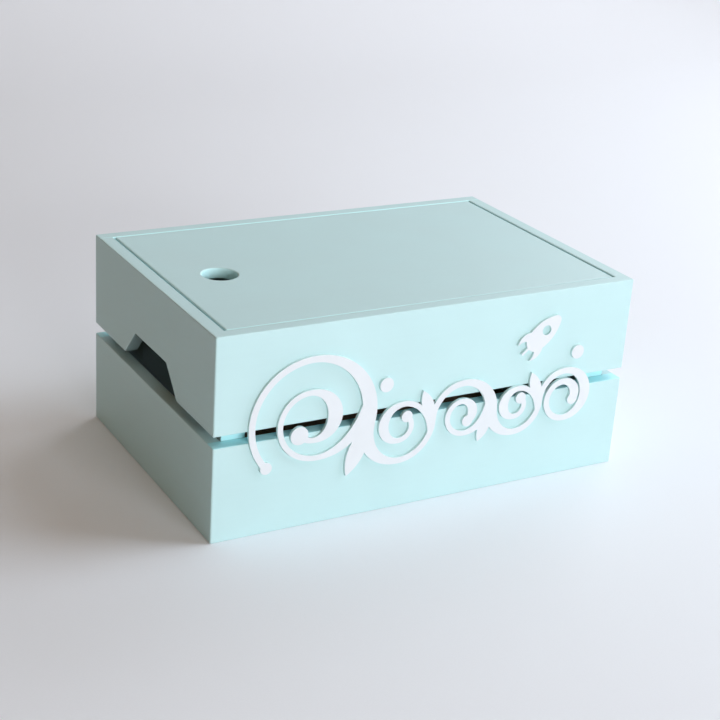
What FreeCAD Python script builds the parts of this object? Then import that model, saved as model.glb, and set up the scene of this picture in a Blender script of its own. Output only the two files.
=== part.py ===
import FreeCAD, Part
import math
import os

import Sketcher
from FreeCAD import Placement, Rotation, Vector

# Painted wooden crate box: two tiers of boards on four corner posts, a base panel, a drop-in lid with a
# round finger hole, and white raised scrollwork with a small rocket glued on the front.
# X runs along the length, the front faces -Y and Z is up. The origin is the middle of the underside.
# All sizes are in millimetres.

SIZES = {
    # Crate
    "length": 300,
    "width": 196,
    "height": 133.5,
    "board_thickness": 9,
    "tier_gap": 7.5,
    "corner_radius": 1,
    "edge_radius": 0.7,
    "post_side": 16,
    "post_edge_radius": 0.8,
    "base_thickness": 6,
    # Hand-hold cut up into the lower edge of each upper side board
    "handhold_top_width": 51,
    "handhold_bottom_width": 86,
    "handhold_height": 19,
    "handhold_corner_radius": 1.5,
    # Lid
    "lid_thickness": 7.4,
    "lid_end_clearance": 1.5,
    "lid_side_clearance": 0.4,
    "lid_recess": 0.1,
    "lid_edge_radius": 0.9,
    "finger_hole_diameter": 23.2,
    "finger_hole_from_end": 46.4,
    # Brads, their heads set below the face and filled over
    "brad_diameter": 1.2,
    "brad_length": 20,
    "brad_cover": 1,
    "brad_clearance": 0.05,
    "brad_from_board_edge": 10,
    "brad_side_step": 8,
    "base_brad_spacing": 80,
    "base_brad_side_spacing": 100,
    # Vine scroll, its stem winding over and under a row of touching circles
    "ornament_thickness": 2,
    "vine_reach": 126,
    "first_turn_radius": 40,
    "second_turn_radius": 24,
    "third_turn_radius": 22,
    "fourth_turn_radius": 19,
    "fifth_turn_radius": 19,
    "first_turn_rise": 5,
    "later_turn_drop": 9,
    "end_turn_pitch": 8,
    "stem_wide": 10.5,
    "stem_end_wide": 7,
    "stem_thin": 4.2,
    "branch_wide": 7,
    "branch_thin": 3.6,
    "first_branch_wide": 10,
    "ball_radius": 3.9,
    "first_ball_radius": 6,
    "leaf_length": 23,
    "leaf_width": 8.5,
    "first_leaf_length": 36,
    "first_leaf_width": 12,
    # Round dots above the vine
    "dot_radius": 4.8,
    "dot_spacing": 3,
    "right_dot_from_middle": 109.2,
    "right_dot_spacing": 3.5,
    # Rocket, pointing up and to the right, measured from the middle of its tail
    "rocket_from_middle": 68.6,
    "rocket_rise": 29.5,
    "rocket_tilt": 50,
    "rocket_length": 30.2,
    "rocket_width": 16.2,
    "rocket_waist_height": 13,
    "rocket_nose_radius": 3.6,
    "rocket_tail_width": 13,
    "rocket_window_diameter": 6.7,
    "rocket_window_height": 17.4,
    "rocket_fin_radius": 9.8,
    "rocket_fin_height": 2,
    "rocket_fin_hollow_radius": 7.6,
    "rocket_fin_hollow_drop": 3.6,
    "rocket_flame_width": 1.7,
    "rocket_flame_length": 5.6,
}

# Slack used when edges are told apart by where they lie
SLACK = 0.01
# Shape of the vine: where the stem starts, how far its last turn winds and over which angle it still keeps
# its full radius, how sharply a stroke swells where it runs downwards, how finely it is drawn, and how
# many of its points lie along one stretch of its sides
STEM_START = math.radians(222)
LAST_TURN_SWEEP = math.radians(560)
HOLD_ANGLE = math.radians(216)
SWELL_POWER = 1.5
TURN_STEPS = 16
WINDING_STEPS = 40
STRETCH_STEPS = 8
# Branches leave the stem a little before the circles touch. Their radius is a share of the circle's: one
# share is left at the end, one is lost evenly along the way, and the rest dies away at the start.
BRANCH_AHEAD = math.radians(20)
BRANCH_SWEEP = math.radians(430)
FIRST_BRANCH_SWEEP = math.radians(500)
BRANCH_END_SHARE = 0.30
BRANCH_EVEN_SHARE = 0.36
BRANCH_FADE_ANGLE = 0.8
# Leaves lean this far off the upright, and the left dot sits at this angle round the first circle
LEAF_LEAN = math.radians(22)
LEFT_DOT_ANGLE = 17

OUTER_LENGTH = "Sizes.length"
OUTER_WIDTH = "Sizes.width"
INNER_LENGTH = "(Sizes.length - 2 * Sizes.board_thickness)"
INNER_WIDTH = "(Sizes.width - 2 * Sizes.board_thickness)"
BOARD_HEIGHT = "((Sizes.height - Sizes.tier_gap) / 2)"
UPPER_BASE = "((Sizes.height + Sizes.tier_gap) / 2)"
GAP_MIDDLE = "(Sizes.height / 2)"
LID_UNDERSIDE = "(Sizes.height - Sizes.lid_recess - Sizes.lid_thickness)"
POST_MIDDLE_X = "(Sizes.length / 2 - Sizes.board_thickness - Sizes.post_side / 2)"
POST_MIDDLE_Y = "(Sizes.width / 2 - Sizes.board_thickness - Sizes.post_side / 2)"

# Turns that lay an upright cylinder on its side, named by the face of the box that its axis enters
INTO_FRONT = Rotation(Vector(1, 0, 0), -90)
INTO_BACK = Rotation(Vector(1, 0, 0), 90)
INTO_LEFT = Rotation(Vector(0, 1, 0), 90)
INTO_RIGHT = Rotation(Vector(0, 1, 0), -90)
OUT_OF_FRONT = INTO_BACK
UPRIGHT = Rotation()

doc = FreeCAD.newDocument("CrateBox")
sheet = doc.addObject("Spreadsheet::Sheet", "Sizes")
for row, (alias, number) in enumerate(SIZES.items(), start=1):
    sheet.set(f"A{row}", alias)
    sheet.set(f"B{row}", str(number))
    sheet.setAlias(f"B{row}", alias)
doc.recompute()

subparts = []


def size(alias):
    """The number in the sheet's cell of that name."""
    return float(sheet.get(alias))


def bind(item, expressions):
    """Binds each named property of an object to an expression of the sheet's sizes."""
    for name, expression in expressions.items():
        item.setExpression(name, expression)


def place(item, x, y, z, rotation=UPRIGHT):
    """Turns an object and binds where it stands."""
    item.Placement = Placement(Vector(), rotation)
    bind(item, {"Placement.Base.x": x, "Placement.Base.y": y, "Placement.Base.z": z})


def add_box(name, length, width, height, x, y, z):
    box = doc.addObject("Part::Box", name)
    bind(box, {"Length": length, "Width": width, "Height": height})
    place(box, x, y, z)
    return box


def add_cylinder(name, radius, height, x, y, z, rotation=UPRIGHT):
    cylinder = doc.addObject("Part::Cylinder", name)
    bind(cylinder, {"Radius": radius, "Height": height})
    place(cylinder, x, y, z, rotation)
    return cylinder


def combine(kind, name, base, tool):
    """A boolean of two objects: Part::Cut, Part::Common or Part::Fuse."""
    result = doc.addObject(kind, name)
    result.Base = base
    result.Tool = tool
    return result


def gather(name, members):
    compound = doc.addObject("Part::Compound", name)
    compound.Links = members
    return compound


def keep(item, label):
    """Marks an object as a finished sub-part, under its own label."""
    item.Label = label
    subparts.append(item)


# Sketch and body helpers


def add_sketch(body, name, plane_role):
    """A sketch on one of the body's own origin planes."""
    sketch = body.newObject("Sketcher::SketchObject", name)
    planes = {feature.Role: feature for feature in body.Origin.OriginFeatures}
    sketch.AttachmentSupport = [(planes[plane_role], "")]
    sketch.MapMode = "FlatFace"
    return sketch


def add_outline(sketch, corners):
    """A closed outline of straight lines through the corners; gives the number of its first line."""
    first = sketch.GeometryCount
    count = len(corners)
    for index, corner in enumerate(corners):
        following = corners[(index + 1) % count]
        sketch.addGeometry(Part.LineSegment(Vector(*corner, 0), Vector(*following, 0)), False)
    for index in range(count):
        following = first + (index + 1) % count
        sketch.addConstraint(Sketcher.Constraint("Coincident", first + index, 2, following, 1))
    return first


def add_dimension(sketch, name, expression, constraint):
    """A named dimension bound to an expression."""
    index = sketch.addConstraint(constraint)
    sketch.renameConstraint(index, name)
    sketch.setExpression(f"Constraints.{name}", expression)


def add_centred_rectangle(sketch, name, length, width):
    """A rectangle centred on the sketch's origin."""
    start = size("length") / 2
    first = add_outline(sketch, [(-start, -start), (start, -start), (start, start), (-start, start)])
    for line in (first, first + 2):
        sketch.addConstraint(Sketcher.Constraint("Horizontal", line))
    for line in (first + 1, first + 3):
        sketch.addConstraint(Sketcher.Constraint("Vertical", line))
    sketch.addConstraint(Sketcher.Constraint("Symmetric", first, 1, first + 2, 1, -1, 1))
    across = Sketcher.Constraint("DistanceX", first, 1, first, 2, 2 * start)
    up = Sketcher.Constraint("DistanceY", first + 1, 1, first + 1, 2, 2 * start)
    add_dimension(sketch, f"{name}_length", length, across)
    add_dimension(sketch, f"{name}_width", width, up)


def add_pad(body, name, sketch, height):
    pad = body.newObject("PartDesign::Pad", name)
    pad.Profile = sketch
    pad.setExpression("Length", height)
    return pad


def round_edges(body, name, radius, chosen):
    """Rounds those edges of the body so far that the given test picks."""
    doc.recompute()
    base = body.Tip
    numbered = enumerate(base.Shape.Edges, start=1)
    edges = [f"Edge{number}" for number, edge in numbered if chosen(edge.BoundBox)]
    fillet = body.newObject("PartDesign::Fillet", name)
    fillet.Base = (base, edges)
    fillet.setExpression("Radius", radius)


def is_upright(box):
    return box.XLength < SLACK and box.YLength < SLACK


def is_outer_upright(box):
    return is_upright(box) and abs(abs(box.Center.x) - size("length") / 2) < SLACK


def is_across_handhold(box):
    """An edge that runs through a side board inside its hand-hold."""
    inside = size("width") / 2 - size("board_thickness") - SLACK
    return box.YLength < SLACK and box.ZLength < SLACK and abs(box.Center.y) < inside


def is_rim(box):
    return not is_upright(box) and not is_across_handhold(box)


def make_block(name, length, width, height, x, y, z):
    """A rectangular body centred on its own place."""
    body = doc.addObject("PartDesign::Body", name)
    sketch = add_sketch(body, f"{name}_plan", "XY_Plane")
    add_centred_rectangle(sketch, f"{name}_plan", length, width)
    add_pad(body, f"{name}_block", sketch, height)
    place(body, x, y, z)
    return body


# Brads and the holes they sit in


def brad_start(side, along):
    """Where a brad's head lies and how it is turned, from the side that it enters and its place along it."""
    starts = {
        "front": (along, "-Sizes.width / 2 + Sizes.brad_cover", INTO_FRONT),
        "back": (along, "Sizes.width / 2 - Sizes.brad_cover", INTO_BACK),
        "left": ("-Sizes.length / 2 + Sizes.brad_cover", along, INTO_LEFT),
        "right": ("Sizes.length / 2 - Sizes.brad_cover", along, INTO_RIGHT),
    }
    return starts[side]


def make_brads(name, spots):
    """One group of brads and one group of their holes; each spot is a side, a place along it and a height."""
    brads = []
    holes = []
    for number, (side, along, z) in enumerate(spots, start=1):
        x, y, rotation = brad_start(side, along)
        radius = "Sizes.brad_diameter / 2"
        hole_radius = "Sizes.brad_diameter / 2 + Sizes.brad_clearance"
        depth = "Sizes.brad_length"
        brads.append(add_cylinder(f"{name}_{number}", radius, depth, x, y, z, rotation))
        holes.append(add_cylinder(f"{name}_hole_{number}", hole_radius, depth, x, y, z, rotation))
    keep(gather(name, brads), name)
    return gather(f"{name}_holes", holes)


def board_brad_spots(tier_base):
    """Two brads at each end of each board, the side boards' a step nearer the middle of the board."""
    spots = []
    reach = {"front": POST_MIDDLE_X, "back": POST_MIDDLE_X, "left": POST_MIDDLE_Y, "right": POST_MIDDLE_Y}
    for side, post_middle in reach.items():
        inset = "Sizes.brad_from_board_edge"
        if side in ("left", "right"):
            inset = "(Sizes.brad_from_board_edge + Sizes.brad_side_step)"
        low = f"{tier_base} + {inset}"
        high = f"{tier_base} + {BOARD_HEIGHT} - {inset}"
        for along in (f"-{post_middle}", post_middle):
            spots.append((side, along, low))
            spots.append((side, along, high))
    return spots


def base_brad_spots():
    """Brads through the lower boards into the edges of the base panel."""
    middle = "Sizes.base_thickness / 2"
    spots = []
    for side in ("front", "back"):
        for along in ("-Sizes.base_brad_spacing", "0", "Sizes.base_brad_spacing"):
            spots.append((side, along, middle))
    for side in ("left", "right"):
        for along in ("-Sizes.base_brad_side_spacing / 2", "Sizes.base_brad_side_spacing / 2"):
            spots.append((side, along, middle))
    return spots


# Tiers of boards


def make_tier(name, tier_base):
    """A ring of boards, before it is rounded and parted."""
    body = doc.addObject("PartDesign::Body", name)
    sketch = add_sketch(body, f"{name}_plan", "XY_Plane")
    add_centred_rectangle(sketch, "outside", OUTER_LENGTH, OUTER_WIDTH)
    add_centred_rectangle(sketch, "inside", INNER_LENGTH, INNER_WIDTH)
    add_pad(body, f"{name}_ring", sketch, BOARD_HEIGHT)
    place(body, "0", "0", tier_base)
    return body


def cut_handholds(body):
    """Cuts the tapered hand-hold up into the lower edge of both side boards in one go."""
    doc.recompute()
    volume_before = body.Tip.Shape.Volume
    half_top = size("handhold_top_width") / 2
    half_bottom = size("handhold_bottom_width") / 2
    height = size("handhold_height")
    sketch = add_sketch(body, "handhold_outline", "YZ_Plane")
    corners = [(-half_bottom, 0), (half_bottom, 0), (half_top, height), (-half_top, height)]
    first = add_outline(sketch, corners)
    bottom, _, top, _ = range(first, first + len(corners))
    sketch.addConstraint(Sketcher.Constraint("Symmetric", bottom, 1, bottom, 2, -2))
    sketch.addConstraint(Sketcher.Constraint("Symmetric", top, 1, top, 2, -2))
    sketch.addConstraint(Sketcher.Constraint("PointOnObject", bottom, 1, -1))
    bottom_width = Sketcher.Constraint("DistanceX", bottom, 1, bottom, 2, 2 * half_bottom)
    top_width = Sketcher.Constraint("DistanceX", top, 2, top, 1, 2 * half_top)
    rise = Sketcher.Constraint("DistanceY", bottom, 2, top, 1, height)
    add_dimension(sketch, "bottom_width", "Sizes.handhold_bottom_width", bottom_width)
    add_dimension(sketch, "top_width", "Sizes.handhold_top_width", top_width)
    add_dimension(sketch, "rise", "Sizes.handhold_height", rise)
    pocket = body.newObject("PartDesign::Pocket", "handholds")
    pocket.Profile = sketch
    pocket.Type = "ThroughAll"
    pocket.SideType = "Symmetric"
    round_edges(body, "handhold_corners", "Sizes.handhold_corner_radius", is_across_handhold)
    doc.recompute()
    if body.Tip.Shape.Volume >= volume_before:
        raise RuntimeError("the hand-holds cut nothing")


def part_boards(name, tier, tier_base):
    """Parts a rounded and drilled ring into four boards, the front and back running the full length."""
    thick = "Sizes.board_thickness"
    left = "-Sizes.length / 2"
    right = "Sizes.length / 2 - Sizes.board_thickness"
    front = "-Sizes.width / 2"
    back = "Sizes.width / 2 - Sizes.board_thickness"
    inner_front = "-Sizes.width / 2 + Sizes.board_thickness"
    regions = {
        "front": (OUTER_LENGTH, thick, left, front),
        "back": (OUTER_LENGTH, thick, left, back),
        "left": (thick, INNER_WIDTH, left, inner_front),
        "right": (thick, INNER_WIDTH, right, inner_front),
    }
    for side, (length, width, x, y) in regions.items():
        label = f"{side}_{name}_board"
        region = add_box(f"{label}_region", length, width, BOARD_HEIGHT, x, y, tier_base)
        keep(combine("Part::Common", label, tier, region), label)


def make_boards(name, tier_base, has_handholds):
    tier = make_tier(f"{name}_tier", tier_base)
    if has_handholds:
        cut_handholds(tier)
    round_edges(tier, f"{name}_corners", "Sizes.corner_radius", is_outer_upright)
    round_edges(tier, f"{name}_rims", "Sizes.edge_radius", is_rim)
    brad_holes = make_brads(f"{name}_board_brads", board_brad_spots(tier_base))
    holes = [brad_holes]
    if not has_handholds:
        holes.append(make_brads("base_brads", base_brad_spots()))
    drilled = combine("Part::Cut", f"{name}_tier_drilled", tier, gather(f"{name}_tier_holes", holes))
    part_boards(name, drilled, tier_base)
    return holes


lower_holes = make_boards("lower", "0", False)
upper_holes = make_boards("upper", UPPER_BASE, True)


# Base panel between the lower boards

base_block = make_block("base_block", INNER_LENGTH, INNER_WIDTH, "Sizes.base_thickness", "0", "0", "0")
base_brad_holes = lower_holes[-1]
keep(combine("Part::Cut", "base_panel", base_block, base_brad_holes), "base_panel")


# Corner posts, standing on the base and carrying the lid


def make_post(label, x, y, holes):
    height = f"{LID_UNDERSIDE} - Sizes.base_thickness"
    side = "Sizes.post_side"
    block = make_block(f"{label}_block", side, side, height, x, y, "Sizes.base_thickness")
    round_edges(block, f"{label}_edges", "Sizes.post_edge_radius", is_upright)
    keep(combine("Part::Cut", label, block, holes), label)


post_holes = gather("post_holes", [lower_holes[0], upper_holes[0]])
for end, end_sign in (("left", "-"), ("right", "")):
    for face, face_sign in (("front", "-"), ("back", "")):
        make_post(f"{face}_{end}_post", end_sign + POST_MIDDLE_X, face_sign + POST_MIDDLE_Y, post_holes)


# Lid with its finger hole


def make_lid():
    length = f"{INNER_LENGTH} - 2 * Sizes.lid_end_clearance"
    width = f"{INNER_WIDTH} - 2 * Sizes.lid_side_clearance"
    body = make_block("lid_panel", length, width, "Sizes.lid_thickness", "0", "0", LID_UNDERSIDE)
    sketch = add_sketch(body, "finger_hole_outline", "XY_Plane")
    start = Vector(-size("length") / 2 + size("finger_hole_from_end"), 0, 0)
    circle = sketch.addGeometry(Part.Circle(start, Vector(0, 0, 1), size("finger_hole_diameter") / 2), False)
    sketch.addConstraint(Sketcher.Constraint("PointOnObject", circle, 3, -1))
    offset = Sketcher.Constraint("DistanceX", circle, 3, -1, 1, -start.x)
    diameter = Sketcher.Constraint("Diameter", circle, size("finger_hole_diameter"))
    add_dimension(sketch, "from_middle", "Sizes.length / 2 - Sizes.finger_hole_from_end", offset)
    add_dimension(sketch, "diameter", "Sizes.finger_hole_diameter", diameter)
    doc.recompute()
    volume_before = body.Tip.Shape.Volume
    pocket = body.newObject("PartDesign::Pocket", "finger_hole")
    pocket.Profile = sketch
    pocket.Type = "ThroughAll"
    pocket.SideType = "Symmetric"
    doc.recompute()
    if body.Tip.Shape.Volume >= volume_before:
        raise RuntimeError("the finger hole cuts nothing")
    round_edges(body, "lid_edges", "Sizes.lid_edge_radius", is_lid_edge)
    keep(body, "lid_panel")


def is_lid_edge(box):
    """Every edge of the lid but the seam line of its round hole."""
    inside = abs(box.Center.y) < size("finger_hole_diameter")
    return not (is_upright(box) and inside)


make_lid()


# Ornament on the front, drawn about the middle of the gap and then set on the front face


def set_on_front(item, x, rise, rotation=UPRIGHT):
    place(item, x, "-Sizes.width / 2", f"{GAP_MIDDLE} + {rise}", rotation)


def add_disc(name, radius, x, z):
    return add_cylinder(name, radius, "Sizes.ornament_thickness", x, "0", z, OUT_OF_FRONT)


def circle_row():
    """Middle and radius of each circle that the stem winds round, each one touching the next."""
    circles = []
    for order in ("first", "second", "third", "fourth", "fifth"):
        radius = size(f"{order}_turn_radius")
        if circles:
            last_middle, last_radius = circles[-1]
            rise = -size("later_turn_drop")
            drop = last_middle.z - rise
            step = math.sqrt((last_radius + radius) ** 2 - drop**2)
            middle = Vector(last_middle.x + step, 0, rise)
        else:
            middle = Vector(radius - size("vine_reach"), 0, size("first_turn_rise"))
        circles.append((middle, radius))
    return circles


def around(middle, radius, angle):
    return middle + Vector(math.cos(angle), 0, math.sin(angle)) * radius


def angle_towards(start, target):
    return math.atan2(target.z - start.z, target.x - start.x)


def turn_direction(number):
    """The stem passes over every other circle, clockwise, and under the ones between."""
    return -1 if number % 2 == 0 else 1


def stem_points(circles):
    """Middle line of the stem, from its free end at the left to the end of its last winding."""
    points = []
    for number, (middle, radius) in enumerate(circles):
        direction = turn_direction(number)
        start = STEM_START
        if number > 0:
            start = angle_towards(middle, circles[number - 1][0])
        if number + 1 < len(circles):
            end = angle_towards(middle, circles[number + 1][0])
            sweep = (end - start) * direction % (2 * math.pi)
            for step in range(TURN_STEPS):
                points.append(around(middle, radius, start + direction * sweep * step / TURN_STEPS))
        else:
            for step in range(WINDING_STEPS + 1):
                turn = LAST_TURN_SWEEP * step / WINDING_STEPS
                wound = turn**3 / (turn**2 + HOLD_ANGLE**2)
                winding_radius = radius - size("end_turn_pitch") * wound / (2 * math.pi)
                points.append(around(middle, winding_radius, start + direction * turn))
    return points


def branch_points(circles, number):
    """Middle line of the branch that leaves the stem for the inside of one circle."""
    middle, radius = circles[number]
    direction = turn_direction(number)
    start = angle_towards(middle, circles[number + 1][0]) - direction * BRANCH_AHEAD
    sweep = FIRST_BRANCH_SWEEP if number == 0 else BRANCH_SWEEP
    fading_share = 1 - BRANCH_END_SHARE - BRANCH_EVEN_SHARE
    points = []
    for step in range(WINDING_STEPS + 1):
        share = step / WINDING_STEPS
        turn = sweep * share
        fading = fading_share * math.exp(-turn / BRANCH_FADE_ANGLE)
        scale = BRANCH_END_SHARE + BRANCH_EVEN_SHARE * (1 - share) + fading
        points.append(around(middle, radius * scale, start + direction * turn))
    return points


def side_edges(points):
    """A smooth curve through the points, as a row of short stretches."""
    curve = Part.BSplineCurve()
    curve.interpolate(points)
    knots = curve.getKnots()
    cuts = knots[:-1:STRETCH_STEPS] + knots[-1:]
    stretches = []
    for start, end in zip(cuts, cuts[1:]):
        stretch = curve.copy()
        stretch.segment(start, end)
        stretches.append(stretch.toShape())
    return stretches


def stroke_face(points, wide, end_wide, thin):
    """A flat stroke along a middle line, thin where the line runs level or up and wide where it runs down."""
    last = len(points) - 1
    left = []
    right = []
    for index, point in enumerate(points):
        along = points[min(index + 1, last)] - points[max(index - 1, 0)]
        along.normalize()
        widest = wide + (end_wide - wide) * index / last
        swell = max(0, -along.z) ** SWELL_POWER
        across = Vector(-along.z, 0, along.x) * ((thin + (widest - thin) * swell) / 2)
        left.append(point + across)
        right.append(point - across)
    edges = [Part.makeLine(left[0], right[0]), Part.makeLine(left[-1], right[-1])]
    edges += side_edges(left) + side_edges(right)
    return Part.Face(Part.Wire(Part.__sortEdges__(edges)))


def ball_face(middle, radius):
    return Part.Face(Part.Wire(Part.makeCircle(radius, middle, Vector(0, 1, 0))))


def leaf_face(root, angle, length, width):
    """A pointed oval that grows from its root."""
    tip = around(root, length, angle)
    heart = (root + tip) / 2
    edges = []
    for side in (-1, 1):
        bulge = around(heart, width / 2, angle + side * math.pi / 2)
        edges.append(Part.Arc(root, bulge, tip).toShape())
    return Part.Face(Part.Wire(Part.__sortEdges__(edges)))


def vine_shape():
    """The whole vine in one piece: stem, branches, leaves and the balls at the free ends."""
    circles = circle_row()
    stem = stem_points(circles)
    faces = [
        ball_face(stem[0], size("ball_radius")),
        ball_face(stem[-1], size("ball_radius")),
    ]
    for number in range(len(circles) - 1):
        middle, radius = circles[number]
        kind = "first_" if number == 0 else ""
        branch = branch_points(circles, number)
        wide = size(f"{kind}branch_wide")
        faces.append(stroke_face(branch, wide, wide, size("branch_thin")))
        faces.append(ball_face(branch[-1], size(f"{kind}ball_radius")))
        fork = around(middle, radius, angle_towards(middle, circles[number + 1][0]))
        growth = turn_direction(number) * (math.pi / 2 + LEAF_LEAN)
        faces.append(leaf_face(fork, growth, size(f"{kind}leaf_length"), size(f"{kind}leaf_width")))
    forward = Vector(0, -size("ornament_thickness"), 0)
    stem_face = stroke_face(stem, size("stem_wide"), size("stem_end_wide"), size("stem_thin"))
    whole = stem_face.extrude(forward).multiFuse([face.extrude(forward) for face in faces]).removeSplitter()
    if len(whole.Solids) != 1:
        raise RuntimeError("the vine is not one piece")
    return whole.Solids[0]


vine = doc.addObject("Part::Feature", "vine_scroll")
vine.Shape = vine_shape()
set_on_front(vine, "0", "0")
keep(vine, "vine_scroll")


# Two round dots, one beside the first turn of the vine and one above its last


def make_dot(label, x, rise):
    dot = doc.addObject("Part::Cylinder", label)
    bind(dot, {"Radius": "Sizes.dot_radius", "Height": "Sizes.ornament_thickness"})
    set_on_front(dot, x, rise, OUT_OF_FRONT)
    keep(dot, label)


dot_reach = "(Sizes.first_turn_radius + Sizes.stem_wide / 2 + Sizes.dot_spacing + Sizes.dot_radius)"
make_dot(
    "left_dot",
    f"Sizes.first_turn_radius - Sizes.vine_reach + {dot_reach} * cos({LEFT_DOT_ANGLE})",
    f"Sizes.first_turn_rise + {dot_reach} * sin({LEFT_DOT_ANGLE})",
)
make_dot(
    "right_dot",
    "Sizes.right_dot_from_middle",
    "Sizes.fifth_turn_radius - Sizes.later_turn_drop + Sizes.stem_end_wide / 2"
    " + Sizes.right_dot_spacing + Sizes.dot_radius",
)


# Rocket, drawn nose up from the middle of its tail and then tilted


def mirrored(point):
    """The same point on the rocket's left half."""
    return Vector(-point.x, point.y, point.z)


def rocket_hull_face():
    """A rounded tail, two long sides that are widest at the waist, and a round nose that they run into."""
    half_width = size("rocket_width") / 2
    half_tail = size("rocket_tail_width") / 2
    nose_radius = size("rocket_nose_radius")
    tip = Vector(0, 0, size("rocket_length"))
    nose_middle = Vector(0, 0, size("rocket_length") - nose_radius)
    waist = Vector(half_width, 0, size("rocket_waist_height"))
    rise = nose_middle.z - waist.z
    side_radius = (half_width**2 + rise**2 - nose_radius**2) / (2 * (half_width - nose_radius))
    side_middle = Vector(half_width - side_radius, 0, waist.z)
    shoulder = side_middle + (nose_middle - side_middle) * (side_radius / (side_radius - nose_radius))
    tail_drop = math.sqrt(side_radius**2 - (half_tail - side_middle.x) ** 2)
    tail = Vector(half_tail, 0, waist.z - tail_drop)
    arcs = [
        Part.Arc(mirrored(tail), Vector(), tail),
        Part.Arc(tail, waist, shoulder),
        Part.Arc(shoulder, tip, mirrored(shoulder)),
        Part.Arc(mirrored(shoulder), mirrored(waist), mirrored(tail)),
    ]
    return Part.Face(Part.Wire([arc.toShape() for arc in arcs]))


def make_rocket():
    """The hull with a crescent of fins, a flame and a round window."""
    hull = doc.addObject("Part::Feature", "rocket_hull")
    hull.Shape = rocket_hull_face().extrude(Vector(0, -size("ornament_thickness"), 0))
    fin_disc = add_disc("rocket_fin_disc", "Sizes.rocket_fin_radius", "0", "Sizes.rocket_fin_height")
    hollow_radius = "Sizes.rocket_fin_hollow_radius"
    fin_hollow = add_disc("rocket_fin_hollow", hollow_radius, "0", "-Sizes.rocket_fin_hollow_drop")
    fins = combine("Part::Cut", "rocket_fins", fin_disc, fin_hollow)
    flame = add_box(
        "rocket_flame", "Sizes.rocket_flame_width", "Sizes.ornament_thickness", "2 * Sizes.rocket_flame_length",
        "-Sizes.rocket_flame_width / 2", "-Sizes.ornament_thickness", "-Sizes.rocket_flame_length",
    )
    outline = doc.addObject("Part::MultiFuse", "rocket_outline")
    outline.Shapes = [hull, fins, flame]
    outline.Refine = True
    window = add_disc("rocket_window", "Sizes.rocket_window_diameter / 2", "0", "Sizes.rocket_window_height")
    rocket = combine("Part::Cut", "rocket_badge", outline, window)
    tilt = Rotation(Vector(0, 1, 0), size("rocket_tilt"))
    set_on_front(rocket, "Sizes.rocket_from_middle", "Sizes.rocket_rise", tilt)
    rocket.setExpression("Placement.Rotation.Angle", "Sizes.rocket_tilt")
    keep(rocket, "rocket_badge")


make_rocket()


# Checks, then one file for each sub-part

doc.recompute()
for item in doc.Objects:
    if "Invalid" in item.State or "Error" in item.State:
        raise RuntimeError(f"{item.Label} failed: {item.State}")
for item in subparts:
    if item.Shape.isNull() or not item.Shape.isValid():
        raise RuntimeError(f"{item.Label} has no valid shape")
os.makedirs("parts", exist_ok=True)
for item in subparts:
    item.Shape.exportStep(os.path.join("parts", f"{item.Label}.step"))
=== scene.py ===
"""Looks for the painted crate-style box: materials, stage, lights and camera, in metres."""

import math
from collections import namedtuple

import bpy
from mathutils import Matrix, Vector

# Axes of the frame
X = 0
Y = 1
Z = 2

# Names of the pieces that share a finish
LONG_BOARDS = ("front_upper_board", "back_upper_board", "front_lower_board", "back_lower_board")
SIDE_BOARDS = ("left_upper_board", "right_upper_board", "left_lower_board", "right_lower_board")
POSTS = ("front_left_post", "front_right_post", "back_left_post", "back_right_post")
LID = ("lid_panel",)
ORNAMENT = ("vine_scroll", "left_dot", "right_dot", "rocket_badge")
BRADS = ("upper_board_brads", "lower_board_brads", "base_brads")

# Tones, linear
AQUA = (0.542, 0.762, 0.762)
# Painted bounce light: a deeper aqua where light has bounced between the aqua faces in the gap between
# the tiers
GAP_BOUNCE_AQUA = (0.51, 0.88, 0.91)
# Painted shade inside the box
INSIDE_SHADE_AQUA = (0.25, 0.35, 0.35)
# Painted highlight on the lid's edges, the back rim's inner edge and the finger hole's wall
HIGHLIGHT_AQUA = (0.62, 0.93, 0.93)
# Painted shade on the hand-holds' cut edges
HANDHOLD_SHADE_AQUA = (0.27, 0.38, 0.38)
WHITE = (0.745, 0.78, 0.80)
# Painted bounce light on the ornament's sides
WHITE_SIDE_BOUNCE = (0.66, 0.83, 0.82)
HARDBOARD = (0.20, 0.115, 0.062)
STEEL = (0.56, 0.56, 0.58)
PAPER = (0.862, 0.892, 0.920)
BACKDROP = (0.68, 0.68, 0.69)

# Soft randomness: waves per metre, how many finer layers lie on top, and how strong those are
Waves = namedtuple("Waves", "scale detail roughness", defaults=(0.5,))
# Nearly all of the randomness lies between these two values
NOISE_LOW = 0.3
NOISE_HIGH = 0.7


# Shader building blocks
def new_material(name):
    """An empty material with one Principled shader on its output."""
    material = bpy.data.materials.new(name)
    material.use_nodes = True
    tree = material.node_tree
    tree.nodes.clear()
    output = tree.nodes.new("ShaderNodeOutputMaterial")
    shader = tree.nodes.new("ShaderNodeBsdfPrincipled")
    tree.links.new(shader.outputs["BSDF"], output.inputs["Surface"])
    return material, tree, shader


def opaque(colour, share=1.0):
    """A colour made lighter or darker by a share, with full opacity."""
    return tuple(min(1.0, part * share) for part in colour) + (1.0,)


def object_place(tree, stretch=(1.0, 1.0, 1.0)):
    """Points of the piece in metres, stretched per axis."""
    coordinates = tree.nodes.new("ShaderNodeTexCoord")
    mapping = tree.nodes.new("ShaderNodeMapping")
    mapping.inputs["Scale"].default_value = stretch
    tree.links.new(coordinates.outputs["Object"], mapping.inputs["Vector"])
    return mapping.outputs["Vector"]


def object_normal(tree):
    """Which way the surface of the piece faces."""
    return tree.nodes.new("ShaderNodeTexCoord").outputs["Normal"]


def noise(tree, place, waves):
    """Soft random values between 0 and 1."""
    node = tree.nodes.new("ShaderNodeTexNoise")
    node.inputs["Scale"].default_value = waves.scale
    node.inputs["Detail"].default_value = waves.detail
    node.inputs["Roughness"].default_value = waves.roughness
    tree.links.new(place, node.inputs["Vector"])
    return node.outputs["Fac"]


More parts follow.
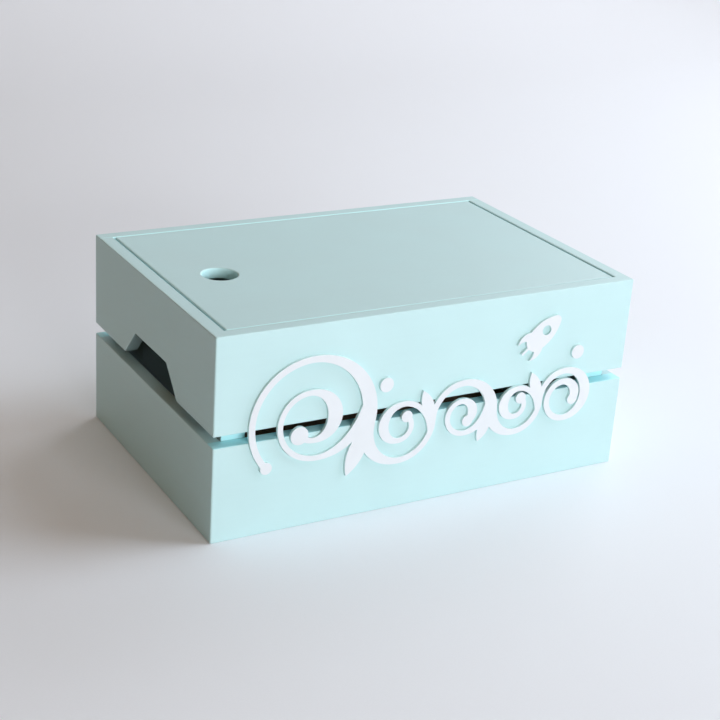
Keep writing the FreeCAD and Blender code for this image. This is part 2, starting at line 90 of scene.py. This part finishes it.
def spread(tree, value, low, high, start=NOISE_LOW, end=NOISE_HIGH):
    """Takes a value from start to end over to low to high."""
    node = tree.nodes.new("ShaderNodeMapRange")
    node.inputs["From Min"].default_value = start
    node.inputs["From Max"].default_value = end
    node.inputs["To Min"].default_value = low
    node.inputs["To Max"].default_value = high
    tree.links.new(value, node.inputs["Value"])
    return node.outputs["Result"]


def blend_tones(tree, share, first, second):
    """A colour between two tones. A tone is a colour or an output socket."""
    node = tree.nodes.new("ShaderNodeMix")
    node.data_type = "RGBA"
    tree.links.new(share, node.inputs["Factor"])
    for name, tone in (("A", first), ("B", second)):
        socket = [entry for entry in node.inputs if entry.name == name and entry.type == "RGBA"][0]
        if isinstance(tone, tuple):
            socket.default_value = tone
        else:
            tree.links.new(tone, socket)
    return [entry for entry in node.outputs if entry.type == "RGBA"][0]


def mottled(tree, value, colour, shares):
    """A colour that wanders between a darker and a lighter share of itself."""
    dark, light = shares
    return blend_tones(tree, spread(tree, value, 0.0, 1.0), opaque(colour, dark), opaque(colour, light))


def relief(tree, heights):
    """A surface normal from several height maps, each with a height in metres."""
    normal = None
    for value, height in heights:
        bump = tree.nodes.new("ShaderNodeBump")
        bump.inputs["Strength"].default_value = 1.0
        bump.inputs["Distance"].default_value = height
        tree.links.new(value, bump.inputs["Height"])
        if normal is not None:
            tree.links.new(normal, bump.inputs["Normal"])
        normal = bump.outputs["Normal"]
    return normal


def give_surface(tree, shader, tone, roughness, heights):
    """Links a tone, a roughness and the relief of height maps to a shader."""
    tree.links.new(tone, shader.inputs["Base Color"])
    tree.links.new(roughness, shader.inputs["Roughness"])
    tree.links.new(relief(tree, heights), shader.inputs["Normal"])


def part_of(tree, vector, axis):
    """A vector's part along one axis."""
    node = tree.nodes.new("ShaderNodeSeparateXYZ")
    tree.links.new(vector, node.inputs["Vector"])
    return node.outputs[axis]


def distance_from(tree, value, middle):
    """How far a value lies from a middle, to either side."""
    node = tree.nodes.new("ShaderNodeMath")
    node.operation = "SUBTRACT"
    node.inputs[1].default_value = middle
    tree.links.new(value, node.inputs[0])
    size = tree.nodes.new("ShaderNodeMath")
    size.operation = "ABSOLUTE"
    tree.links.new(node.outputs["Value"], size.inputs[0])
    return size.outputs["Value"]


def distance_to(tree, place, point):
    """How far a place lies from a point."""
    node = tree.nodes.new("ShaderNodeVectorMath")
    node.operation = "DISTANCE"
    node.inputs[1].default_value = point
    tree.links.new(place, node.inputs[0])
    return node.outputs["Value"]


def reckon(tree, operation, first, second):
    """One sum on two values."""
    node = tree.nodes.new("ShaderNodeMath")
    node.operation = operation
    tree.links.new(first, node.inputs[0])
    tree.links.new(second, node.inputs[1])
    return node.outputs["Value"]


def both(tree, first, second):
    """The product of two shares."""
    return reckon(tree, "MULTIPLY", first, second)


def either(tree, first, second):
    """The larger of two shares."""
    return reckon(tree, "MAXIMUM", first, second)


def in_sight(tree):
    """A share that is full for what is seen straight on, in gloss or through glass."""
    rays = tree.nodes.new("ShaderNodeLightPath")
    mirrored = either(tree, rays.outputs["Is Glossy Ray"], rays.outputs["Is Transmission Ray"])
    return either(tree, rays.outputs["Is Camera Ray"], mirrored)


def show_instead(tree, share, first, second):
    """Shows the second shader in place of the first where a share is full."""
    mix = tree.nodes.new("ShaderNodeMixShader")
    for socket, source in zip(mix.inputs, (share, first, second)):
        tree.links.new(source, socket)
    tree.links.new(mix.outputs["Shader"], tree.get_output_node("ALL").inputs["Surface"])


# Where painted light and shade lie on the box

# How far each patch of painted light and shade fades into what lies under it
PAINTED_LIGHT_FADE = 0.0004
# How much of the lid's rounded edges gets a painted highlight, and where along its front edge this fades
# out
LID_HIGHLIGHT_WIDTH = 0.0009
HIGHLIGHT_FADE_START = -0.06
HIGHLIGHT_FADE_END = 0.09
# How much of the rim's inner edge behind the lid gets a painted highlight
RIM_HIGHLIGHT_WIDTH = 0.0006
# The finger hole, measured from the left end of the box
HOLE_FROM_END = 0.0464
HOLE_RADIUS = 0.0116
# How high the hand-holds are cut into the side boards
HANDHOLD_HEIGHT = 0.019
# How much of a surface's normal lies along an axis where it faces that way, and where it has turned away
FACING = 0.9
TURNED_AWAY = 0.5
# A stretch that takes the height out of a place
FLATTENED = (1.0, 1.0, 0.0)


def within(tree, place, axis, low, high):
    """A share that is full between two values along one axis and fades out past them."""
    away = distance_from(tree, part_of(tree, place, axis), (low + high) / 2)
    half = (high - low) / 2
    return spread(tree, away, 1.0, 0.0, half, half + PAINTED_LIGHT_FADE)


def span(node, axis):
    """Where a piece starts and ends along an axis."""
    places = [corner[axis] for corner in node.bound_box]
    return min(places), max(places)


def gap_cover(nodes):
    """The gap between the two tiers, where a deeper aqua is painted in for light bounced between the
    aqua faces.
    """
    bottom = span(nodes["front_lower_board"], Z)[1]
    top = span(nodes["front_upper_board"], Z)[0]

    def cover(tree, place):
        return within(tree, place, Z, bottom, top)

    return cover


def inside_shade_cover(nodes):
    """The room within the box, from the base up to the underside of the lid, where shade is painted in.
    """
    bottom = span(nodes["base_panel"], Z)[0]
    top = span(nodes["lid_panel"], Z)[0]

    def cover(tree, place):
        length = within(tree, place, X, *span(nodes["base_panel"], X))
        width = within(tree, place, Y, *span(nodes["base_panel"], Y))
        height = within(tree, place, Z, bottom, top)
        return both(tree, both(tree, length, width), height)

    return cover


def lid_edge_highlight_cover(nodes):
    """The lid's rounded edges that get a painted highlight: the back one, and the front one towards the
    left.
    """
    front, back = span(nodes["lid_panel"], Y)
    front_end = front + LID_HIGHLIGHT_WIDTH
    back_start = back - LID_HIGHLIGHT_WIDTH

    def cover(tree, place):
        depth = part_of(tree, place, Y)
        at_front = spread(tree, depth, 1.0, 0.0, front_end - PAINTED_LIGHT_FADE, front_end)
        at_back = spread(tree, depth, 0.0, 1.0, back_start, back_start + PAINTED_LIGHT_FADE)
        at_left = spread(tree, part_of(tree, place, X), 1.0, 0.0, HIGHLIGHT_FADE_START, HIGHLIGHT_FADE_END)
        return either(tree, at_back, both(tree, at_front, at_left))

    return cover


def rim_highlight_cover(nodes):
    """The inner edge of the back board's rim, where a highlight is painted in."""
    start = span(nodes["back_upper_board"], Y)[0]
    top = span(nodes["back_upper_board"], Z)[1]

    def cover(tree, place):
        depth = within(tree, place, Y, start, start + RIM_HIGHLIGHT_WIDTH)
        height = within(tree, place, Z, top - RIM_HIGHLIGHT_WIDTH, top)
        return both(tree, depth, height)

    return cover


def hole_highlight_cover(nodes):
    """The wall of the finger hole, where a lighter aqua is painted in as a highlight."""
    middle = span(nodes["front_upper_board"], X)[0] + HOLE_FROM_END

    def cover(tree, place):
        away = distance_to(tree, object_place(tree, FLATTENED), (middle, 0.0, 0.0))
        return spread(tree, away, 1.0, 0.0, HOLE_RADIUS, HOLE_RADIUS + PAINTED_LIGHT_FADE)

    return cover


def handhold_shade_cover(nodes):
    """The cut edges of the hand-holds, where shade is painted in as a darker aqua."""
    bottom = span(nodes["left_upper_board"], Z)[0]

    def cover(tree, place):
        facing = distance_from(tree, part_of(tree, object_normal(tree), X), 0.0)
        height = within(tree, place, Z, bottom, bottom + HANDHOLD_HEIGHT)
        return both(tree, height, spread(tree, facing, 1.0, 0.0, TURNED_AWAY, FACING))

    return cover


def post_face_bounce_cover(nodes):
    """The faces of the posts that show through the gap from the front and the back, where bounce light
    is painted in as a deeper aqua.
    """
    in_gap = gap_cover(nodes)

    def cover(tree, place):
        facing = distance_from(tree, part_of(tree, object_normal(tree), Y), 0.0)
        return both(tree, in_gap(tree, place), spread(tree, facing, 0.0, 1.0, TURNED_AWAY, FACING))

    return cover


# Painted boards: the grain's waves per metre, then each layer with its tones and its height
GRAIN_ACROSS = 420.0
GRAIN_ALONG = 14.0
BOARD_FIBRES = Waves(scale=1.0, detail=4.0, roughness=0.6)
FIBRE_SHARE = 0.2
FIBRE_TONE = 1.03
FIBRE_HEIGHT = 0.00002
BOARD_CLOUDS = Waves(scale=22.0, detail=3.0)
BOARD_TONES = (0.975, 1.015)
BOARD_ROUGHNESS = (0.42, 0.54)
BOARD_SPECKS = Waves(scale=2600.0, detail=2.0)
SPECK_SHARE = 0.35
SPECK_TONE = 0.955
BOARD_SKIN = Waves(scale=1100.0, detail=2.0)
BOARD_SKIN_HEIGHT = 0.00003


def painted_board(name, grain, light_and_shade_covers):
    """Satin paint over wood: a fine sprayed skin, cloudy tone, and the grain just showing through.

    The grain is the axis that it runs along. Each cover is painted light or painted shade,
    and says where it lies and its tone.
    """
    material, tree, shader = new_material(name)
    stretch = [GRAIN_ACROSS, GRAIN_ACROSS, GRAIN_ACROSS]
    stretch[grain] = GRAIN_ALONG
    place = object_place(tree)
    clouds = noise(tree, place, BOARD_CLOUDS)
    specks = noise(tree, place, BOARD_SPECKS)
    skin = noise(tree, place, BOARD_SKIN)
    fibres = noise(tree, object_place(tree, stretch), BOARD_FIBRES)
    toned = mottled(tree, clouds, AQUA, BOARD_TONES)
    toned = blend_tones(tree, spread(tree, specks, 0.0, SPECK_SHARE), toned, opaque(AQUA, SPECK_TONE))
    toned = blend_tones(tree, spread(tree, fibres, 0.0, FIBRE_SHARE), toned, opaque(AQUA, FIBRE_TONE))
    # Painted light and shade laid over the paint
    for cover, tone in light_and_shade_covers:
        toned = blend_tones(tree, cover(tree, place), toned, opaque(tone))
    heights = ((fibres, FIBRE_HEIGHT), (skin, BOARD_SKIN_HEIGHT))
    give_surface(tree, shader, toned, spread(tree, clouds, *BOARD_ROUGHNESS), heights)
    return material


# Painted ornament
TRIM_CLOUDS = Waves(scale=60.0, detail=3.0)
TRIM_TONES = (0.975, 1.01)
TRIM_ROUGHNESS = (0.48, 0.6)
TRIM_SKIN = Waves(scale=1500.0, detail=2.0)
TRIM_SKIN_HEIGHT = 0.00002


def painted_ornament():
    """Matt white paint on the face of thin wooden trim, its sides tinted aqua as painted bounce light
    from the box.
    """
    material, tree, shader = new_material("ornament_white")
    place = object_place(tree)
    clouds = noise(tree, place, TRIM_CLOUDS)
    skin = noise(tree, place, TRIM_SKIN)
    face = mottled(tree, clouds, WHITE, TRIM_TONES)
    # Painted bounce light: faces turned away from the front take an aqua tint
    at_side = spread(tree, part_of(tree, object_normal(tree), Y), 0.0, 1.0, -FACING, -TURNED_AWAY)
    toned = blend_tones(tree, at_side, face, opaque(WHITE_SIDE_BOUNCE))
    give_surface(tree, shader, toned, spread(tree, clouds, *TRIM_ROUGHNESS), ((skin, TRIM_SKIN_HEIGHT),))
    return material


# Bare hardboard
HARDBOARD_MATS = Waves(scale=240.0, detail=6.0, roughness=0.65)
MAT_TONES = (0.72, 1.3)
MAT_HEIGHT = 0.00008
HARDBOARD_ROUGHNESS = (0.6, 0.8)
FLECK_STRETCH = (500.0, 1600.0, 1600.0)
HARDBOARD_FLECKS = Waves(scale=1.0, detail=3.0)
FLECK_SHARE = 0.6
FLECK_START = 0.55
FLECK_FULL = 0.75
FLECK_TONE = 0.45
FLECK_HEIGHT = 0.00004


def bare_hardboard():
    """Brown pressed-fibre board: short matted fibres and darker flecks."""
    material, tree, shader = new_material("bare_hardboard")
    mats = noise(tree, object_place(tree), HARDBOARD_MATS)
    flecks = noise(tree, object_place(tree, FLECK_STRETCH), HARDBOARD_FLECKS)
    brown = mottled(tree, mats, HARDBOARD, MAT_TONES)
    at_fleck = spread(tree, flecks, 0.0, FLECK_SHARE, FLECK_START, FLECK_FULL)
    toned = blend_tones(tree, at_fleck, brown, opaque(HARDBOARD, FLECK_TONE))
    heights = ((mats, MAT_HEIGHT), (flecks, FLECK_HEIGHT))
    give_surface(tree, shader, toned, spread(tree, mats, *HARDBOARD_ROUGHNESS), heights)
    return material


# Drawn steel
WIRE_STRETCH = (3000.0, 3000.0, 200.0)
WIRE_LINES = Waves(scale=1.0, detail=3.0)
WIRE_TONES = (0.8, 1.1)
WIRE_ROUGHNESS = (0.25, 0.4)
WIRE_HEIGHT = 0.00001


def drawn_steel():
    """Bright wire with the fine lines of drawing."""
    material, tree, shader = new_material("brad_steel")
    lines = noise(tree, object_place(tree, WIRE_STRETCH), WIRE_LINES)
    toned = mottled(tree, lines, STEEL, WIRE_TONES)
    shader.inputs["Metallic"].default_value = 1.0
    give_surface(tree, shader, toned, spread(tree, lines, *WIRE_ROUGHNESS), ((lines, WIRE_HEIGHT),))
    return material


# Paper
PAPER_TOOTH = Waves(scale=900.0, detail=3.0)
PAPER_TONES = (0.99, 1.01)
PAPER_ROUGHNESS = 0.85
PAPER_SHEEN = 0.2
# How far from this point the paper starts to turn into the even backdrop, and where it has done so
BACKDROP_MIDDLE = (0.3, 0.6, 0.0)
BACKDROP_START = 1.35
BACKDROP_FULL = 2.3


def paper_sweep():
    """Plain pale paper under and behind the box, which far off turns into an even backdrop."""
    material, tree, shader = new_material("paper_sweep")
    place = object_place(tree)
    toned = mottled(tree, noise(tree, place, PAPER_TOOTH), PAPER, PAPER_TONES)
    tree.links.new(toned, shader.inputs["Base Color"])
    shader.inputs["Roughness"].default_value = PAPER_ROUGHNESS
    shader.inputs["Specular IOR Level"].default_value = PAPER_SHEEN
    pale = tree.nodes.new("ShaderNodeEmission")
    pale.inputs["Color"].default_value = opaque(BACKDROP)
    away = distance_to(tree, place, BACKDROP_MIDDLE)
    far = spread(tree, away, 0.0, 1.0, BACKDROP_START, BACKDROP_FULL)
    share = both(tree, in_sight(tree), far)
    show_instead(tree, share, shader.outputs["BSDF"], pale.outputs["Emission"])
    return material


# Which piece has which finish
def dress(piece, material):
    """Gives a piece one material in all its slots."""
    piece.data.materials.clear()
    piece.data.materials.append(material)


def dress_box(nodes):
    """The finish of every piece of the box, with painted light and shade laid over the paint of the
    boards, posts and lid.
    """
    # Painted light and shade: where each lies, and its tone
    inside_shade = (inside_shade_cover(nodes), INSIDE_SHADE_AQUA)
    gap_bounce = (gap_cover(nodes), GAP_BOUNCE_AQUA)
    post_face_bounce = (post_face_bounce_cover(nodes), GAP_BOUNCE_AQUA)
    lid_edge_highlight = (lid_edge_highlight_cover(nodes), HIGHLIGHT_AQUA)
    rim_highlight = (rim_highlight_cover(nodes), HIGHLIGHT_AQUA)
    hole_highlight = (hole_highlight_cover(nodes), HIGHLIGHT_AQUA)
    handhold_shade = (handhold_shade_cover(nodes), HANDHOLD_SHADE_AQUA)
    paints = {
        LONG_BOARDS: painted_board("long_board_paint", X, (inside_shade, gap_bounce, rim_highlight)),
        SIDE_BOARDS: painted_board("side_board_paint", Y, (handhold_shade, inside_shade)),
        POSTS: painted_board("post_paint", Z, (inside_shade, post_face_bounce)),
        LID: painted_board("lid_paint", X, (lid_edge_highlight, hole_highlight, inside_shade)),
    }
    for names, paint in paints.items():
        for name in names:
            dress(nodes[name], paint)
    white = painted_ornament()
    for name in ORNAMENT:
        dress(nodes[name], white)
    steel = drawn_steel()
    for name in BRADS:
        dress(nodes[name], steel)
    dress(nodes["base_panel"], bare_hardboard())


# Stage
SWEEP_HALF_WIDTH = 6.0
SWEEP_FRONT = -6.0
SWEEP_BEND_START = 1.0
SWEEP_BEND_RADIUS = 0.9
SWEEP_TOP = 4.0
SWEEP_BEND_STEPS = 32


def sweep_profile():
    """The side view of a floor that bends up into a wall behind the box."""
    points = [(SWEEP_FRONT, 0.0)]
    for step in range(SWEEP_BEND_STEPS + 1):
        turn = math.pi / 2 * step / SWEEP_BEND_STEPS
        depth = SWEEP_BEND_START + SWEEP_BEND_RADIUS * math.sin(turn)
        height = SWEEP_BEND_RADIUS * (1.0 - math.cos(turn))
        points.append((depth, height))
    points.append((SWEEP_BEND_START + SWEEP_BEND_RADIUS, SWEEP_TOP))
    return points


def add_sweep():
    """The floor and backdrop as one smooth sheet."""
    profile = sweep_profile()
    verts = []
    for side in (-SWEEP_HALF_WIDTH, SWEEP_HALF_WIDTH):
        for depth, height in profile:
            verts.append((side, depth, height))
    count = len(profile)
    faces = []
    for step in range(count - 1):
        faces.append((step, count + step, count + step + 1, step + 1))
    mesh = bpy.data.meshes.new("paper_sweep")
    mesh.from_pydata(verts, [], faces)
    mesh.shade_smooth()
    sweep = bpy.data.objects.new("paper_sweep", mesh)
    bpy.context.scene.collection.objects.link(sweep)
    dress(sweep, paper_sweep())


# Lights
BOX_MIDDLE = Vector((0.0, 0.0, 0.07))
ROOM_GLOW = (0.110, 0.045, 0.0)

# A lamp's azimuth counts from the front to the right. Angles are in degrees, lengths in metres.
Lamp = namedtuple("Lamp", "azimuth elevation distance width height colour power")
LAMPS = {
    "front_window": Lamp(
        azimuth=0.0, elevation=14.0, distance=2.4,
        width=1.2, height=0.6, colour=(0.926, 0.948, 1.0), power=34.3,
    ),
    "side_window": Lamp(
        azimuth=70.0, elevation=40.0, distance=1.8,
        width=1.0, height=1.7, colour=(0.75, 0.85, 0.97), power=28.0,
    ),
    "back_window": Lamp(
        azimuth=122.0, elevation=32.5, distance=2.24,
        width=1.0, height=1.0, colour=(0.88, 0.92, 1.0), power=13.5,
    ),
    "ceiling": Lamp(
        azimuth=180.0, elevation=84.0, distance=2.0,
        width=2.0, height=2.0, colour=(1.0, 0.72, 0.35), power=2.4,
    ),
}


def around_box(azimuth, elevation, distance):
    """A place at an azimuth, a height angle and a distance from the middle of the box's floor."""
    turn = math.radians(azimuth)
    rise = math.radians(elevation)
    level = distance * math.cos(rise)
    return Vector((level * math.sin(turn), -level * math.cos(turn), distance * math.sin(rise)))


def add_lamp(name, lamp):
    """A large rectangular lamp that points at the box."""
    data = bpy.data.lights.new(name, "AREA")
    data.shape = "RECTANGLE"
    data.size = lamp.width
    data.size_y = lamp.height
    data.color = lamp.colour
    data.energy = lamp.power
    place = around_box(lamp.azimuth, lamp.elevation, lamp.distance)
    piece = bpy.data.objects.new(name, data)
    piece.rotation_mode = "QUATERNION"
    piece.rotation_quaternion = (BOX_MIDDLE - place).to_track_quat("-Z", "Y")
    piece.location = place
    bpy.context.scene.collection.objects.link(piece)


def set_world():
    """A dim warm glow from all round, which itself is seen as the even backdrop."""
    world = bpy.data.worlds.new("room_glow")
    world.use_nodes = True
    tree = world.node_tree
    glow = tree.nodes["Background"]
    glow.inputs["Color"].default_value = opaque(ROOM_GLOW)
    pale = tree.nodes.new("ShaderNodeBackground")
    pale.inputs["Color"].default_value = opaque(BACKDROP)
    show_instead(tree, in_sight(tree), glow.outputs["Background"], pale.outputs["Background"])
    bpy.context.scene.world = world


def add_lights():
    """Windows in front, at the right and behind, and a warm ceiling, in a dim warm room."""
    for name, lamp in LAMPS.items():
        add_lamp(name, lamp)
    set_world()


# Camera at the photograph's angle
LENS = 77.562
SENSOR = 36.0
CAMERA_PLACE = (-0.49345, -0.84133, 0.46331)
CAMERA_AZIMUTH = -30.556
CAMERA_ELEVATION = 22.489
CAMERA_ROLL = 3.925
CLIP_NEAR = 0.01
CLIP_FAR = 50.0


def add_camera():
    """The camera of the photograph, found from the box's edges."""
    azimuth = math.radians(CAMERA_AZIMUTH)
    elevation = math.radians(CAMERA_ELEVATION)
    roll = math.radians(CAMERA_ROLL)
    back = Vector((
        math.sin(azimuth) * math.cos(elevation),
        -math.cos(azimuth) * math.cos(elevation),
        math.sin(elevation),
    ))
    level = Vector((0.0, 0.0, 1.0)).cross(back).normalized()
    upright = back.cross(level)
    right = math.cos(roll) * level + math.sin(roll) * upright
    up = -math.sin(roll) * level + math.cos(roll) * upright
    data = bpy.data.cameras.new("photo_camera")
    data.lens = LENS
    data.sensor_width = SENSOR
    data.clip_start = CLIP_NEAR
    data.clip_end = CLIP_FAR
    camera = bpy.data.objects.new("photo_camera", data)
    turned = Matrix((right, up, back)).transposed()
    camera.matrix_world = Matrix.LocRotScale(Vector(CAMERA_PLACE), turned, None)
    bpy.context.scene.collection.objects.link(camera)
    bpy.context.scene.camera = camera


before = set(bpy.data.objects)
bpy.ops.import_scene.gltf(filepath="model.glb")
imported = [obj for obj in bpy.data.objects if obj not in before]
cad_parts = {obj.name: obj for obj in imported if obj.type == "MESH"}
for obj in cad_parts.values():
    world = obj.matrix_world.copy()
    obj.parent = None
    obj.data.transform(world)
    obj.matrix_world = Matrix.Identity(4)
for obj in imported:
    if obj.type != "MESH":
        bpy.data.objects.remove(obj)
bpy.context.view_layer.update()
bpy.context.scene.view_settings.view_transform = "Standard"
dress_box(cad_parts)
add_sweep()
add_lights()
add_camera()
